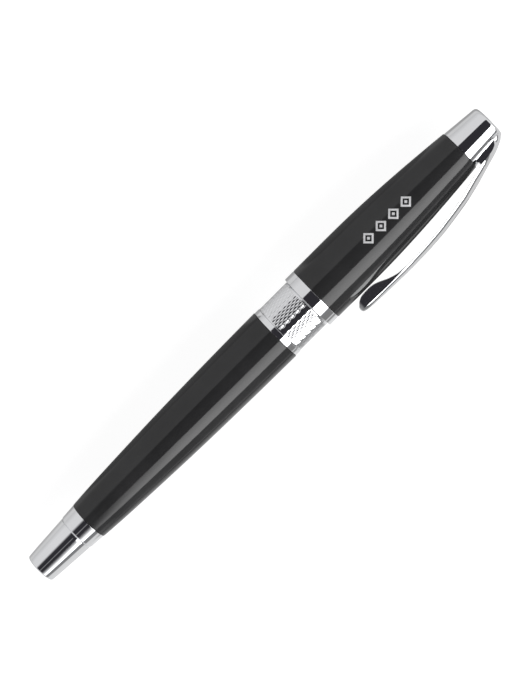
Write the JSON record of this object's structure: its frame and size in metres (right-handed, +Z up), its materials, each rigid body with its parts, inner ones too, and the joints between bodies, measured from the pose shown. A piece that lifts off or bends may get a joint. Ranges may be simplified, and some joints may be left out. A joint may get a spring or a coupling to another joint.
{
  "type": "rollerball pen",
  "caption": "Capped rollerball pen with a lacquered barrel and cap, plated trim, an engraved centre band, a sprung clip and a replaceable refill.",
  "frame": {"origin": "on the surface that the pen lies on, under the middle of its bounding box", "axes": "+X along the pen from the tail to the crown, +Y away from the clip, +Z up; the pen lies on its cap with the clip level at -Y"},
  "size_m": [0.1374, 0.0178, 0.0139],
  "materials": {
    "black_lacquer": "gloss black lacquer on a brass tube",
    "chrome_plate": "bright chrome plate",
    "engraved_chrome": "bright chrome plate over an engraved pattern of interlaced waves",
    "clip_chrome": "bright chrome plate",
    "brass": "turned brass",
    "spring_steel": "drawn steel",
    "refill_steel": "satin steel",
    "dark_plastic": "satin",
    "white_plastic": "satin",
    "ink_fibre": "ink-soaked fibre",
    "grip_black": "gloss black"
  },
  "bodies": {
    "barrel": {"barrel_shell": "black_lacquer", "barrel_trim_ring": "chrome_plate", "center_band": "engraved_chrome", "barrel_thread_insert": "brass", "tail_collar": "chrome_plate", "tail_plug": "chrome_plate", "tail_bush": "chrome_plate", "refill_spring": "spring_steel"},
    "refill": {"refill_tube": "refill_steel", "refill_end_plug": "white_plastic", "ink_reservoir": "ink_fibre", "refill_nose": "dark_plastic", "refill_feed": "white_plastic", "tip_cone": "refill_steel"},
    "writing_ball": {"writing_ball": "refill_steel"},
    "section": {"section_thread_sleeve": "brass", "section_shoulder_ring": "chrome_plate", "grip_section": "grip_black", "nose_cone": "chrome_plate"},
    "clutch_ring": {"clutch_ring": "spring_steel"},
    "cap": {"cap_lip_ring": "chrome_plate", "cap_shell": "black_lacquer", "inner_cap": "dark_plastic", "crown_screw": "spring_steel", "cap_crown": "chrome_plate", "crown_core": "brass"},
    "clip": {"clip": "clip_chrome"}
  },
  "joints": [
    {"name": "refill_advance", "type": "slide", "parent": "barrel", "child": "refill", "axis": [1, 0, 0], "range_m": [0, 0.00375], "deforming": ["refill_spring"]},
    {"name": "section_unscrew", "type": "hinge", "parent": "refill", "child": "section", "pos_m": [0.01349, 0.00197, 0.00693], "axis": [1, 0, 0], "range_deg": [0, 1800]},
    {"name": "cap_spin", "type": "hinge", "parent": "section", "child": "clutch_ring", "pos_m": [0.01719, 0.00197, 0.00693], "axis": [1, 0, 0], "continuous": true},
    {"name": "cap_pull", "type": "slide", "parent": "clutch_ring", "child": "cap", "axis": [1, 0, 0], "range_m": [0, 0.06]},
    {"name": "clip_flex", "type": "hinge", "parent": "cap", "child": "clip", "pos_m": [0.06569, -0.00134, 0.00693], "axis": [0, 0, 1], "range_deg": [0, 4], "stiffness_Nm_per_rad": 2},
    {"name": "ball_roll", "type": "hinge", "parent": "refill", "child": "writing_ball", "pos_m": [0.05437, 0.00197, 0.00693], "axis": [0, 1, 0], "continuous": true}
  ],
  "couplings": [
    {"joint": "section_unscrew", "follows": "refill_advance", "rad_per_m": 8377.5}
  ]
}
